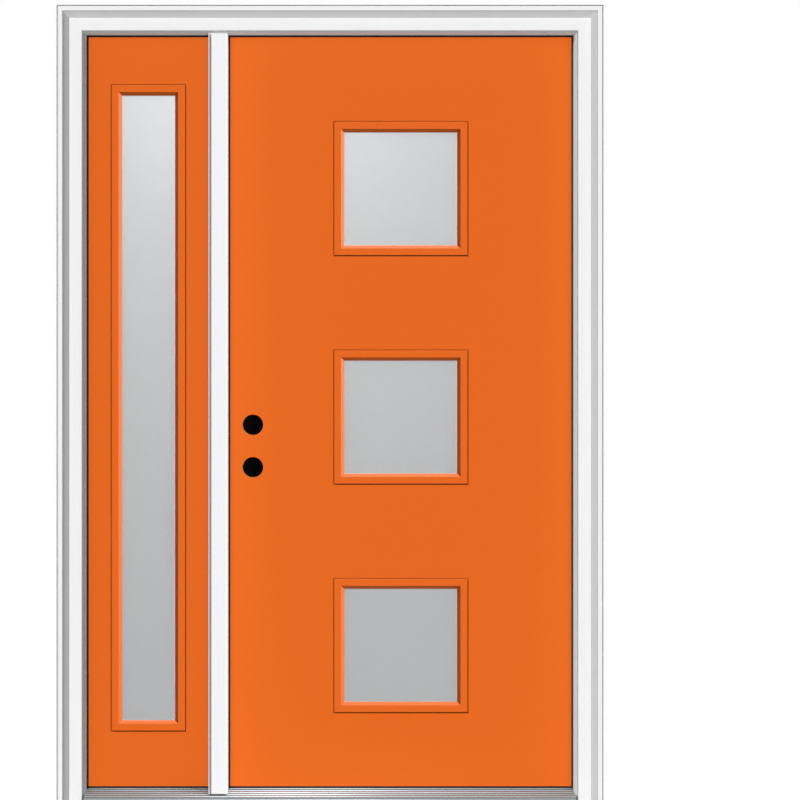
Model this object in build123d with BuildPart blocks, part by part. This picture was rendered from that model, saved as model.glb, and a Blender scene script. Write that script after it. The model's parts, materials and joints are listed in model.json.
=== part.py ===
"""Prehung inswing steel entry door with a fixed sidelite on its left, seen from outside.

All sizes are in millimetres. X runs right as seen from outside, Y runs into the building and Z runs up.
The origin is on the sill's underside, under the middle of the unit, in the plane of the brickmould's back.
"""
import math
import os

from build123d import *

# Door slab
slab_width = 914.4
slab_height = 1972.0
slab_thickness = 44.45
skin = 0.8
stile_width = 38.0
rail_height = 38.0
lock_bevel_deg = 3.0

# Clearances round the slab and the fixed panel
door_gap = 5.0
sweep_gap = 4.6
panel_fit = 0.3

# Jambs and mullion
jamb_depth = 115.9
jamb_base = 21.0
stop_height = 11.0
rabbet_width = 54.0
mullion_core = 27.5
kerf_width = 3.0
kerf_depth = 10.0
kerf_inset = 1.5
strike_corner = 6.0
mullion_casing_width = 41.0
mullion_casing_shift = 2.75
mullion_casing_thickness = 10.0
mullion_casing_gap = 4.5
mullion_casing_toe = 3.5
mullion_casing_edge = 2.0
mullion_bedding = 0.05

# Sidelite panel
sidelite_width = 342.5

# Brickmould
mould_reveal = 5.0
mould_head_reveal = 2.0
mould_width = 66.0
mould_thickness = 32.0
mould_flat_thickness = 14.0
mould_lip = 15.5
mould_ogee = 15.0
mould_ogee_deg = 38.0
mould_quirk = 2.0
mould_nose = 3.0
mould_rim = 1.5
mould_groove = 2.0
mould_groove_depth = 5.0

# Sill
sill_top = 35.4
sill_cap_bottom = 28.6
sill_nose = -32.0
sill_nose_height = 24.0
sill_deck_rear = 31.0
sill_sheet = 2.4
cap_edge = 1.5
rib_radius = 2.2
rib_pitch = 24.0
rib_setback = 12.0
rib_margin = 8.0
nose_rib_radius = 1.4
nose_rib_heights = (6.0, 12.0, 18.0)

# Weatherstrip
strip_reach = 4.5
strip_clear = 0.3
strip_round = 3.5
strip_leg = 2.4
strip_leg_depth = 9.0
sweep_carrier = 1.2
sweep_fin = 2.2
sweep_fin_count = 3
panel_gasket_inset = 1.0

# Lites
lite_recess = 5.0
lite_reveal = 3.0
lite_profile = 27.0
lite_bevel = 9.0
lite_proud = 0.8
lite_overlap = 14.0
lite_fit = 0.3
lite_edge = 1.2
pane = 4.0
glass_gap = 14.0
glass_inset = 3.5
spacer_width = 7.0
door_lite_size = 355.0
door_lite_top_drop = 406.4
door_lite_bottom_rise = 368.4
sidelite_lite_width = 198.0
sidelite_lite_height = 1697.0
sidelite_lite_lift = 2.65

# Lock preparation
bore_radius = 27.0
edge_bore_radius = 12.7
backset = 69.85
latch_height = 835.5
bolt_spacing = 111.3
lock_block_width = 75.0
lock_block_margin = 62.0
bore_cover_radius = 31.0
bore_cover_thickness = 2.5
face_plate_width = 25.4
face_plate_length = 57.15
face_plate_corner = 6.35
face_plate_depth = 3.2
strike_length = 57.0
strike_width = 28.5
strike_depth = 1.6
strike_hole_depth = 20.0

# Hinges
hinge_height = 101.6
leaf_reach = 38.0
leaf_thickness = 2.5
leaf_corner = 15.9
leaf_fit = 0.3
leaf_relief = 1.0
knuckle_radius = 6.5
knuckle_count = 3
knuckle_clear = 0.15
pin_radius = 4.0
pin_clear = 0.08
pin_proud = 8.0
pin_head_radius = 5.6
pin_head_height = 4.0
pin_crown = 1.8
pin_tip = 1.0
top_hinge_drop = 177.8
bottom_hinge_rise = 279.4

# Positions that follow from the sizes above
door_opening = slab_width + 2 * door_gap - 2 * stop_height
sidelite_opening = sidelite_width + 2 * panel_fit - 2 * stop_height
mullion_width = mullion_core + 2 * stop_height
unit_half = (door_opening + mullion_width + sidelite_opening) / 2
stop_x = unit_half
rabbet_x = stop_x + stop_height
jamb_x = rabbet_x + jamb_base
stop_end = jamb_depth - rabbet_width
slab_right = rabbet_x - door_gap
slab_left = slab_right - slab_width
slab_centre = (slab_right + slab_left) / 2
slab_front = jamb_depth - slab_thickness
slab_back = jamb_depth
slab_middle = (slab_front + slab_back) / 2
slab_bottom = sill_top + sweep_gap
slab_top = slab_bottom + slab_height
head_rabbet = slab_top + door_gap
head_stop = head_rabbet - stop_height
head_top = head_rabbet + jamb_base
strike_rabbet = slab_left - door_gap
strike_stop = strike_rabbet + stop_height
post_rabbet = strike_rabbet - mullion_core
post_stop = post_rabbet - stop_height
mullion_centre = (strike_stop + post_stop) / 2
mould_inner = stop_x + mould_reveal
mould_outer = mould_inner + mould_width
mould_head = head_stop + mould_head_reveal
panel_left = -rabbet_x + panel_fit
panel_right = panel_left + sidelite_width
panel_centre = (-stop_x + post_stop) / 2
panel_top = head_rabbet - panel_fit
deck_slope = (sill_deck_rear - sill_nose_height) / (stop_end - sill_nose)
lock_bevel = math.tan(math.radians(lock_bevel_deg))
core_front = slab_front + skin
core_back = slab_back - skin
pin_x = (slab_right + rabbet_x) / 2
pin_y = jamb_depth + pin_proud
leaf_end = pin_y - knuckle_radius - leaf_relief
leaf_start = jamb_depth - leaf_reach
glass_front = slab_middle - glass_gap / 2 - pane
lite_leg = glass_front - slab_front
bore_x = slab_left + backset
latch_z = slab_bottom + latch_height
bolt_z = latch_z + bolt_spacing
bore_heights = (latch_z, bolt_z)
hinge_heights = {
    "top": slab_top - top_hinge_drop - hinge_height / 2,
    "bottom": slab_bottom + bottom_hinge_rise + hinge_height / 2,
}
hinge_heights["middle"] = (hinge_heights["top"] + hinge_heights["bottom"]) / 2
door_lite_heights = {
    "top": slab_top - door_lite_top_drop,
    "bottom": slab_bottom + door_lite_bottom_rise,
}
door_lite_heights["middle"] = (door_lite_heights["top"] + door_lite_heights["bottom"]) / 2
sidelite_lite_z = (slab_bottom + panel_top) / 2 + sidelite_lite_lift
cutout_inset = lite_reveal + lite_overlap
glass_edge = cutout_inset + glass_inset

os.makedirs("parts", exist_ok=True)


def save(builder, name):
    """Label a finished sub-part and write it."""
    builder.part.label = name
    export_step(builder.part, f"parts/{name}.step")


def facing_out(y):
    """Plane at depth y that looks out of the building, so a positive extrusion goes outward."""
    return Plane.XZ.offset(-y)


def facing_in(y):
    """Plane at depth y that looks into the building, with its own x running left."""
    return Plane(origin=(0, y, 0), x_dir=(-1, 0, 0), z_dir=(0, 1, 0))


def deck_height(y):
    """Height of the sill deck's sheet at depth y."""
    return sill_nose_height + deck_slope * (y - sill_nose)


def block(x0, x1, y0, y1, z0, z1, mode=Mode.ADD):
    """Plain box between two corners, added to the part being built."""
    with Locations(((x0 + x1) / 2, (y0 + y1) / 2, (z0 + z1) / 2)):
        Box(x1 - x0, y1 - y0, z1 - z0, mode=mode)


def leaf_outline(z, fit):
    """Face of a hinge leaf in depth and height, rounded at its two inner corners."""
    with BuildSketch(mode=Mode.PRIVATE) as outline:
        with Locations(((leaf_start + leaf_end) / 2, z)):
            Rectangle(leaf_end - leaf_start + 2 * fit, hinge_height + 2 * fit)
        inner = outline.vertices().group_by(Axis.X)[0]
        fillet(inner, leaf_corner)
    return outline.sketch


def side_jamb(right):
    """Side jamb with its stop, weatherstrip kerf and, on the hinge side, three leaf mortises."""
    side = 1 if right else -1
    kerf_x = rabbet_x - kerf_inset - kerf_width / 2
    with BuildPart() as jamb:
        with BuildSketch(Plane.XY):
            with BuildLine():
                Polyline(
                    (side * stop_x, 0),
                    (side * jamb_x, 0),
                    (side * jamb_x, jamb_depth),
                    (side * rabbet_x, jamb_depth),
                    (side * rabbet_x, stop_end),
                    (side * stop_x, stop_end),
                    close=True,
                )
            make_face()
            with Locations((side * kerf_x, stop_end - kerf_depth / 2)):
                Rectangle(kerf_width, kerf_depth, mode=Mode.SUBTRACT)
        extrude(amount=head_rabbet)
        x_low = min(side * stop_x, side * jamb_x)
        x_high = max(side * stop_x, side * jamb_x)
        block(x_low, x_high, 0, stop_end, head_stop, head_rabbet, Mode.SUBTRACT)
        if right:
            for height in hinge_heights.values():
                with BuildSketch(Plane.YZ.offset(rabbet_x)):
                    add(leaf_outline(height, leaf_fit))
                extrude(amount=leaf_thickness, mode=Mode.SUBTRACT)
    return jamb


hinge_jamb = side_jamb(True)
save(hinge_jamb, "hinge_jamb")

sidelite_jamb = side_jamb(False)
save(sidelite_jamb, "sidelite_jamb")

# Head jamb, over both side jambs
with BuildPart() as head_jamb:
    with BuildSketch(Plane.YZ.offset(-jamb_x)):
        with BuildLine():
            Polyline(
                (0, head_stop),
                (stop_end, head_stop),
                (stop_end, head_rabbet),
                (jamb_depth, head_rabbet),
                (jamb_depth, head_top),
                (0, head_top),
                close=True,
            )
        make_face()
        with Locations((stop_end - kerf_depth / 2, head_rabbet - kerf_inset - kerf_width / 2)):
            Rectangle(kerf_depth, kerf_width, mode=Mode.SUBTRACT)
    extrude(amount=2 * jamb_x)
save(head_jamb, "head_jamb")

# Mullion post between the sidelite and the door, cut to the sill's slope at its foot
foot_front = deck_height(0) + rib_radius + mullion_bedding
foot_rear = deck_height(stop_end) + rib_radius + mullion_bedding
with BuildPart() as mullion_post:
    with BuildSketch(Plane.YZ.offset(post_stop)):
        with BuildLine():
            Polyline(
                (0, foot_front),
                (stop_end, foot_rear),
                (stop_end, head_stop),
                (0, head_stop),
                close=True,
            )
        make_face()
    extrude(amount=mullion_width)
    block(post_rabbet, strike_rabbet, stop_end, jamb_depth, sill_cap_bottom, head_rabbet)
    kerf_y = stop_end - kerf_depth
    kerf_right = strike_rabbet + kerf_inset
    block(kerf_right, kerf_right + kerf_width, kerf_y, stop_end, 0, head_rabbet, Mode.SUBTRACT)
    kerf_left = post_rabbet - kerf_inset
    block(kerf_left - kerf_width, kerf_left, kerf_y, stop_end, 0, head_rabbet, Mode.SUBTRACT)
    for height in bore_heights:
        with BuildSketch(Plane.YZ.offset(strike_rabbet)):
            with Locations((slab_middle, height)):
                RectangleRounded(strike_width, strike_length, strike_corner)
        extrude(amount=-strike_depth, mode=Mode.SUBTRACT)
        with BuildSketch(Plane.YZ.offset(strike_rabbet)):
            with Locations((slab_middle, height)):
                Circle(edge_bore_radius)
        extrude(amount=-strike_hole_depth, mode=Mode.SUBTRACT)
save(mullion_post, "mullion_post")

# Flat casing on the mullion's exterior edge
casing_left = mullion_centre + mullion_casing_shift - mullion_casing_width / 2
casing_foot = foot_front + mullion_casing_toe
casing_toe = casing_foot - deck_slope * mullion_casing_thickness
with BuildPart() as mullion_casing:
    with BuildSketch(Plane.YZ.offset(casing_left)):
        with BuildLine():
            Polyline(
                (0, casing_foot),
                (0, head_stop - mullion_casing_gap),
                (-mullion_casing_thickness, head_stop - mullion_casing_gap),
                (-mullion_casing_thickness, casing_toe),
                close=True,
            )
        make_face()
    extrude(amount=mullion_casing_width)
    front_edges = mullion_casing.faces().sort_by(Axis.Y)[0].edges().filter_by(Axis.Z)
    fillet(front_edges, mullion_casing_edge)
save(mullion_casing, "mullion_casing")


def mould_profile():
    """Brickmould section, from its inner edge outward and from its back to its face."""
    flat_end = mould_width - mould_lip - mould_ogee
    lip_start = mould_width - mould_lip
    rim_start = mould_width - mould_rim
    groove_start = rim_start - mould_groove
    groove_floor = mould_thickness - mould_groove_depth
    low = mould_flat_thickness + mould_quirk
    high = mould_thickness - mould_quirk
    middle = ((flat_end + lip_start) / 2, (low + high) / 2)
    rise = (math.cos(math.radians(mould_ogee_deg)), math.sin(math.radians(mould_ogee_deg)))
    with BuildSketch() as profile:
        with BuildLine():
            Polyline((0, mould_flat_thickness), (flat_end, mould_flat_thickness), (flat_end, low))
            cove = TangentArc((flat_end, low), middle, tangent=rise)
            TangentArc(middle, (lip_start, high), tangent=cove % 1)
            Polyline(
                (lip_start, high),
                (lip_start, mould_thickness),
                (groove_start, mould_thickness),
                (groove_start, groove_floor),
                (rim_start, groove_floor),
                (rim_start, mould_thickness),
                (mould_width, mould_thickness),
                (mould_width, 0),
                (0, 0),
                (0, mould_flat_thickness),
            )
        make_face()
        nose = profile.vertices().sort_by_distance((0, mould_flat_thickness))[0]
        fillet(nose, mould_nose)
    return profile.sketch


mould_section = mould_profile()
mitre_right = Plane(origin=(mould_inner, 0, mould_head), z_dir=(-1, 0, 1))
mitre_left = Plane(origin=(-mould_inner, 0, mould_head), z_dir=(1, 0, 1))

with BuildPart() as brickmould_right:
    leg_plane = Plane(origin=(mould_inner, 0, 0), x_dir=(1, 0, 0), z_dir=(0, 0, -1))
    with BuildSketch(leg_plane):
        add(mould_section)
    extrude(amount=-(mould_head + mould_width))
    split(bisect_by=mitre_right, keep=Keep.BOTTOM)
save(brickmould_right, "brickmould_right")

with BuildPart() as brickmould_left:
    leg_plane = Plane(origin=(-mould_inner, 0, 0), x_dir=(-1, 0, 0), z_dir=(0, 0, 1))
    with BuildSketch(leg_plane):
        add(mould_section)
    extrude(amount=mould_head + mould_width)
    split(bisect_by=mitre_left, keep=Keep.BOTTOM)
save(brickmould_left, "brickmould_left")

with BuildPart() as brickmould_head:
    rail_plane = Plane(origin=(-mould_outer, 0, mould_head), x_dir=(0, 0, 1), z_dir=(1, 0, 0))
    with BuildSketch(rail_plane):
        add(mould_section)
    extrude(amount=2 * mould_outer)
    split(bisect_by=mitre_right, keep=Keep.TOP)
    split(bisect_by=mitre_left, keep=Keep.TOP)
save(brickmould_head, "brickmould_head")

# Composite sill base, notched round the jamb stops
with BuildPart() as sill_substrate:
    under_front = sill_nose + sill_sheet
    with BuildSketch(Plane.YZ.offset(-stop_x)):
        with BuildLine():
            Polyline(
                (under_front, 0),
                (under_front, deck_height(under_front) - sill_sheet),
                (stop_end, deck_height(stop_end) - sill_sheet),
                (stop_end, 0),
                close=True,
            )
        make_face()
    extrude(amount=2 * stop_x)
    block(-rabbet_x, rabbet_x, stop_end, jamb_depth, 0, sill_cap_bottom)
save(sill_substrate, "sill_substrate")

# Ribbed aluminium sill deck with its nose
with BuildPart() as sill_deck:
    with BuildSketch(Plane.YZ.offset(-stop_x)):
        with BuildLine():
            Polyline(
                (sill_nose, 0),
                (sill_nose, sill_nose_height),
                (stop_end, sill_deck_rear),
                (stop_end, sill_deck_rear - sill_sheet),
                (under_front, deck_height(under_front) - sill_sheet),
                (under_front, 0),
                close=True,
            )
        make_face()
        rib_run = stop_end - sill_nose - rib_setback - rib_margin
        for index in range(int(rib_run / rib_pitch) + 1):
            rib_y = sill_nose + rib_setback + rib_pitch * index
            with Locations((rib_y, deck_height(rib_y))):
                Circle(rib_radius)
        for rib_z in nose_rib_heights:
            with Locations((sill_nose, rib_z)):
                Circle(nose_rib_radius)
    extrude(amount=2 * stop_x)
save(sill_deck, "sill_deck")


def sill_cap(x0, x1):
    """Threshold cap between two upright faces, with its upper edges eased."""
    with BuildPart() as cap:
        block(x0, x1, stop_end, jamb_depth, sill_cap_bottom, sill_top)
        upper = cap.faces().sort_by(Axis.Z)[-1].edges().filter_by(Axis.X)
        fillet(upper, cap_edge)
    return cap


threshold_cap = sill_cap(strike_rabbet, rabbet_x)
save(threshold_cap, "threshold_cap")

sidelite_cap = sill_cap(-rabbet_x, post_rabbet)
save(sidelite_cap, "sidelite_cap")

with BuildPart() as sidelite_bottom_gasket:
    gasket_front = slab_front + panel_gasket_inset
    gasket_back = slab_back - panel_gasket_inset
    block(panel_left, panel_right, gasket_front, gasket_back, sill_top, slab_bottom)
save(sidelite_bottom_gasket, "sidelite_bottom_gasket")


def strip_section(reach, thickness):
    """Section of a kerf-in bulb strip, from the rabbet toward the opening and from the stop to the slab."""
    width = stop_height + reach
    leg_middle = kerf_inset + kerf_width / 2
    with BuildSketch(mode=Mode.PRIVATE) as profile:
        with Locations((width / 2, thickness / 2)):
            Rectangle(width, thickness)
        rounded = profile.vertices().group_by(Axis.Y)[-1]
        fillet(rounded, strip_round)
        with Locations((leg_middle, -strip_leg_depth / 2)):
            Rectangle(strip_leg, strip_leg_depth)
    return profile.sketch


def strip_plane(corner, toward):
    """Plane at a rabbet corner whose own x points toward the opening and whose own y points indoors."""
    run = Vector(*toward).cross(Vector(0, 1, 0))
    return Plane(origin=corner, x_dir=toward, z_dir=run)


strip_thickness = slab_front - stop_end - strip_clear
side_strip_top = head_stop - strip_reach
side_strip_length = side_strip_top - sill_top

door_section = strip_section(strip_reach, strip_thickness)
with BuildPart() as weatherstrip_sides:
    with BuildSketch(strip_plane((rabbet_x, stop_end, side_strip_top), (-1, 0, 0))):
        add(door_section)
    extrude(amount=side_strip_length)
    with BuildSketch(strip_plane((strike_rabbet, stop_end, sill_top), (1, 0, 0))):
        add(door_section)
    extrude(amount=side_strip_length)
save(weatherstrip_sides, "weatherstrip_sides")

with BuildPart() as weatherstrip_head:
    with BuildSketch(strip_plane((strike_rabbet, stop_end, head_rabbet), (0, 0, -1))):
        add(door_section)
    extrude(amount=rabbet_x - strike_rabbet)
save(weatherstrip_head, "weatherstrip_head")

# Gasket round the fixed panel, flush with the mullion's stop on that side
gasket_thickness = slab_front - stop_end
gasket_section = strip_section(strip_reach, gasket_thickness)
with BuildPart() as sidelite_gasket:
    with BuildSketch(strip_plane((-rabbet_x, stop_end, sill_top), (1, 0, 0))):
        add(gasket_section)
    extrude(amount=side_strip_length)
    with BuildSketch(strip_plane((post_rabbet, stop_end, side_strip_top), (-1, 0, 0))):
        add(strip_section(0, gasket_thickness))
    extrude(amount=side_strip_length)
    with BuildSketch(strip_plane((-rabbet_x, stop_end, head_rabbet), (0, 0, -1))):
        add(gasket_section)
    extrude(amount=post_rabbet + rabbet_x)
save(sidelite_gasket, "sidelite_gasket")


def window(x, z, width, height, inset):
    """Upright rectangle round a lite's middle, smaller than the lite's recess by an inset on each side."""
    with BuildSketch(mode=Mode.PRIVATE) as outline:
        with Locations((x, z)):
            Rectangle(width - 2 * inset, height - 2 * inset)
    return outline.sketch


def skin_sheet(y, inward, x0, x1, z0, z1, lites, bores, mortises):
    """Steel sheet with a stamped recess round each lite, bored for the locks and notched for the hinges."""
    with BuildPart() as sheet:
        with BuildSketch(facing_out(y)):
            with Locations(((x0 + x1) / 2, (z0 + z1) / 2)):
                Rectangle(x1 - x0, z1 - z0)
            for x, z in bores:
                with Locations((x, z)):
                    Circle(bore_radius, mode=Mode.SUBTRACT)
        extrude(amount=-inward * skin)
        for lite in lites:
            with BuildSketch(facing_out(y)):
                add(window(*lite, -skin))
            extrude(amount=-inward * (lite_recess + skin))
            with BuildSketch(facing_out(y)):
                add(window(*lite, 0))
            extrude(amount=-inward * lite_recess, mode=Mode.SUBTRACT)
            with BuildSketch(facing_out(y)):
                add(window(*lite, cutout_inset))
            extrude(amount=-inward * (lite_recess + skin), mode=Mode.SUBTRACT)
        for z in mortises:
            with BuildSketch(Plane.YZ.offset(slab_right)):
                add(leaf_outline(z, leaf_fit))
            extrude(amount=-leaf_thickness, mode=Mode.SUBTRACT)
    return sheet


def core_fill(x0, x1, z0, z1, lites, notches):
    """Core between two skins, recessed on both faces and cut right through at each lite, and notched."""
    with BuildPart() as fill:
        block(x0, x1, core_front, core_back, z0, z1)
        for left, right, low, high in notches:
            block(left, right, core_front, core_back, low, high, Mode.SUBTRACT)
        for lite in lites:
            with BuildSketch(facing_out(core_front)):
                add(window(*lite, -skin))
            extrude(amount=-lite_recess, mode=Mode.SUBTRACT)
            with BuildSketch(facing_out(core_back)):
                add(window(*lite, -skin))
            extrude(amount=lite_recess, mode=Mode.SUBTRACT)
            with BuildSketch(facing_out(core_back)):
                add(window(*lite, cutout_inset))
            extrude(amount=core_back - core_front, mode=Mode.SUBTRACT)
    return fill


door_lites = {}
for place, height in door_lite_heights.items():
    door_lites[place] = (slab_centre, height, door_lite_size, door_lite_size)
door_bores = []
for height in bore_heights:
    door_bores.append((bore_x, height))
lock_edge_front = slab_left + lock_bevel * slab_thickness

door_skin_exterior = skin_sheet(
    slab_front, 1, lock_edge_front, slab_right, slab_bottom, slab_top, door_lites.values(), door_bores, []
)
save(door_skin_exterior, "door_skin_exterior")

leaf_heights = hinge_heights.values()
door_skin_interior = skin_sheet(
    slab_back, -1, slab_left, slab_right, slab_bottom, slab_top, door_lites.values(), door_bores, leaf_heights
)
save(door_skin_interior, "door_skin_interior")

with BuildPart() as hinge_stile:
    block(slab_right - stile_width, slab_right, core_front, core_back, slab_bottom, slab_top)
    for height in hinge_heights.values():
        with BuildSketch(Plane.YZ.offset(slab_right)):
            add(leaf_outline(height, leaf_fit))
        extrude(amount=-leaf_thickness, mode=Mode.SUBTRACT)
save(hinge_stile, "hinge_stile")

# Lock stile, bevelled along its outer edge, bored for the two bolts and mortised for their face plates
stile_inner = slab_left + stile_width
lock_edge = Plane(
    origin=(slab_left + lock_bevel * (slab_back - slab_middle), slab_middle, 0),
    x_dir=(lock_bevel, -1, 0),
    z_dir=(-1, -lock_bevel, 0),
)
with BuildPart() as lock_stile:
    with BuildSketch(Plane.XY.offset(slab_bottom)):
        with BuildLine():
            Polyline(
                (slab_left + lock_bevel * (slab_back - core_front), core_front),
                (stile_inner, core_front),
                (stile_inner, core_back),
                (slab_left + lock_bevel * (slab_back - core_back), core_back),
                close=True,
            )
        make_face()
    extrude(amount=slab_height)
    for height in bore_heights:
        with BuildSketch(Plane.YZ.offset(stile_inner)):
            with Locations((slab_middle, height)):
                Circle(edge_bore_radius)
        extrude(amount=-stile_width, mode=Mode.SUBTRACT)
        with BuildSketch(lock_edge):
            with Locations((0, height)):
                RectangleRounded(face_plate_width, face_plate_length, face_plate_corner)
        extrude(amount=-face_plate_depth, mode=Mode.SUBTRACT)
save(lock_stile, "lock_stile")

core_left = stile_inner
core_right = slab_right - stile_width
core_low = slab_bottom + rail_height
core_high = slab_top - rail_height

with BuildPart() as top_rail:
    block(core_left, core_right, core_front, core_back, core_high, slab_top)
save(top_rail, "top_rail")

with BuildPart() as bottom_rail:
    block(core_left, core_right, core_front, core_back, slab_bottom, core_low)
save(bottom_rail, "bottom_rail")

# Solid block behind the lock bores
block_low = latch_z - lock_block_margin
block_high = bolt_z + lock_block_margin
block_right = core_left + lock_block_width
with BuildPart() as lock_block:
    block(core_left, block_right, core_front, core_back, block_low, block_high)
    for height in bore_heights:
        with BuildSketch(facing_out(core_back)):
            with Locations((bore_x, height)):
                Circle(bore_radius)
        extrude(amount=core_back - core_front, mode=Mode.SUBTRACT)
        with BuildSketch(Plane.YZ.offset(core_left)):
            with Locations((slab_middle, height)):
                Circle(edge_bore_radius)
        extrude(amount=backset - stile_width, mode=Mode.SUBTRACT)
save(lock_block, "lock_block")

# Foam that fills the slab round the lites and the lock block
block_room = (core_left, block_right, block_low, block_high)
foam_core = core_fill(core_left, core_right, core_low, core_high, door_lites.values(), [block_room])
save(foam_core, "foam_core")

# Vinyl sweep under the slab
with BuildPart() as door_sweep:
    fin_foot = sill_top + strip_clear
    block(lock_edge_front, slab_right, core_front, core_back, slab_bottom - sweep_carrier, slab_bottom)
    fin_step = (core_back - core_front - sweep_fin) / (sweep_fin_count - 1)
    for index in range(sweep_fin_count):
        fin_y = core_front + index * fin_step
        block(lock_edge_front, slab_right, fin_y, fin_y + sweep_fin, fin_foot, slab_bottom)
save(door_sweep, "door_sweep")


def lite_frame(plane, x, z, width, height):
    """One half of a lite frame: a flange in the skin's recess, a leg into the cutout and a bevel to the glass."""
    daylight = lite_reveal + lite_profile
    bevel_depth = lite_proud + lite_leg
    bevel_angle = math.degrees(math.atan2(lite_bevel, bevel_depth))
    seat = plane.offset(-lite_recess)
    face = plane.offset(lite_proud)
    with BuildPart() as frame:
        with BuildSketch(seat):
            add(window(x, z, width, height, lite_reveal))
        extrude(amount=lite_recess + lite_proud)
        rim = frame.faces().sort_by(Axis(plane.origin, plane.z_dir))[-1]
        fillet(rim.edges(), lite_edge)
        with BuildSketch(seat):
            add(window(x, z, width, height, cutout_inset + lite_fit))
        extrude(amount=lite_recess - lite_leg)
        with BuildSketch(face):
            add(window(x, z, width, height, daylight))
        extrude(amount=-bevel_depth, mode=Mode.SUBTRACT)
        with BuildSketch(face):
            add(window(x, z, width, height, daylight - lite_bevel))
        extrude(amount=-bevel_depth, taper=bevel_angle, mode=Mode.SUBTRACT)
    return frame


def glass_unit(lite):
    """Two frosted panes of an insulating unit."""
    with BuildPart() as unit:
        for front in (glass_front, glass_front + pane + glass_gap):
            with BuildSketch(facing_out(front)):
                add(window(*lite, glass_edge))
            extrude(amount=-pane)
    return unit


def spacer_bars(lites):
    """Spacer bars between the panes, one ring for each unit."""
    with BuildPart() as bars:
        for lite in lites:
            with BuildSketch(facing_out(glass_front + pane)):
                add(window(*lite, glass_edge))
                add(window(*lite, glass_edge + spacer_width), mode=Mode.SUBTRACT)
            extrude(amount=-glass_gap)
    return bars


for place, (x, z, width, height) in door_lites.items():
    exterior = lite_frame(facing_out(slab_front), x, z, width, height)
    save(exterior, f"lite_frame_exterior_{place}")
    interior = lite_frame(facing_in(slab_back), -x, z, width, height)
    save(interior, f"lite_frame_interior_{place}")
    glass = glass_unit(door_lites[place])
    save(glass, f"lite_glass_{place}")

glass_spacers = spacer_bars(door_lites.values())
save(glass_spacers, "glass_spacers")

# Fixed sidelite panel
sidelite_lite = (panel_centre, sidelite_lite_z, sidelite_lite_width, sidelite_lite_height)

sidelite_skin_exterior = skin_sheet(
    slab_front, 1, panel_left, panel_right, slab_bottom, panel_top, [sidelite_lite], [], []
)
save(sidelite_skin_exterior, "sidelite_skin_exterior")

sidelite_skin_interior = skin_sheet(
    slab_back, -1, panel_left, panel_right, slab_bottom, panel_top, [sidelite_lite], [], []
)
save(sidelite_skin_interior, "sidelite_skin_interior")

sidelite_core = core_fill(panel_left, panel_right, slab_bottom, panel_top, [sidelite_lite], [])
save(sidelite_core, "sidelite_core")

sidelite_lite_exterior = lite_frame(facing_out(slab_front), *sidelite_lite)
save(sidelite_lite_exterior, "sidelite_lite_exterior")

sidelite_lite_interior = lite_frame(
    facing_in(slab_back), -panel_centre, sidelite_lite_z, sidelite_lite_width, sidelite_lite_height
)
save(sidelite_lite_interior, "sidelite_lite_interior")

sidelite_glass = glass_unit(sidelite_lite)
save(sidelite_glass, "sidelite_glass")

sidelite_spacer = spacer_bars([sidelite_lite])
save(sidelite_spacer, "sidelite_spacer")

# Black covers that close the lock bores on the interior face
with BuildPart() as lock_bore_covers:
    for height in bore_heights:
        with BuildSketch(facing_in(slab_back)):
            with Locations((-bore_x, height)):
                Circle(bore_cover_radius)
        extrude(amount=bore_cover_thickness)
save(lock_bore_covers, "lock_bore_covers")


def hinge_leaf(z, on_frame):
    """Butt hinge leaf with its own share of the knuckles, bored for the pin."""
    face_x = rabbet_x if on_frame else slab_right
    outward = 1 if on_frame else -1
    plate_low = min(face_x, face_x + outward * leaf_thickness)
    plate_high = plate_low + leaf_thickness
    step = hinge_height / knuckle_count
    first = 0 if on_frame else 1
    with BuildPart() as leaf:
        with BuildSketch(Plane.YZ.offset(face_x)):
            add(leaf_outline(z, 0))
        extrude(amount=outward * leaf_thickness)
        for index in range(first, knuckle_count, 2):
            low = z - hinge_height / 2 + index * step + knuckle_clear
            high = low + step - 2 * knuckle_clear
            with BuildSketch(Plane.XY.offset(low)):
                with Locations((pin_x, pin_y)):
                    Circle(knuckle_radius)
            extrude(amount=high - low)
            block(plate_low, plate_high, leaf_end - leaf_relief, pin_y, low, high)
        with BuildSketch(Plane.XY.offset(z - hinge_height / 2)):
            with Locations((pin_x, pin_y)):
                Circle(pin_radius + pin_clear)
        extrude(amount=hinge_height, mode=Mode.SUBTRACT)
    return leaf


for place, height in hinge_heights.items():
    frame_leaf = hinge_leaf(height, True)
    save(frame_leaf, f"hinge_leaf_frame_{place}")
    door_leaf = hinge_leaf(height, False)
    save(door_leaf, f"hinge_leaf_door_{place}")

# Loose pins with a domed head over the top knuckle and a tip below the lowest one
with BuildPart() as hinge_pins:
    for height in hinge_heights.values():
        pin_low = height - hinge_height / 2 - pin_tip
        head_low = height + hinge_height / 2 - knuckle_clear
        with BuildSketch(Plane.XY.offset(pin_low)):
            with Locations((pin_x, pin_y)):
                Circle(pin_radius)
        extrude(amount=head_low - pin_low)
        with BuildSketch(Plane.XY.offset(head_low)):
            with Locations((pin_x, pin_y)):
                Circle(pin_head_radius)
        extrude(amount=pin_head_height)
    crowns = []
    for pin in hinge_pins.solids():
        crowns.extend(pin.faces().sort_by(Axis.Z)[-1].edges())
    chamfer(crowns, pin_crown)
save(hinge_pins, "hinge_pins")
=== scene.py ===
"""Looks of a prehung steel entry door with a fixed sidelite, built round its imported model.

Lengths are metres. X runs right as seen from outside, Y runs into the building and Z runs up. Sizes given
in millimetres carry _mm in their names.
"""
from __future__ import annotations

import json
import logging
import math
from dataclasses import dataclass, field, replace
from enum import Enum
from typing import Any, Optional

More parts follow.
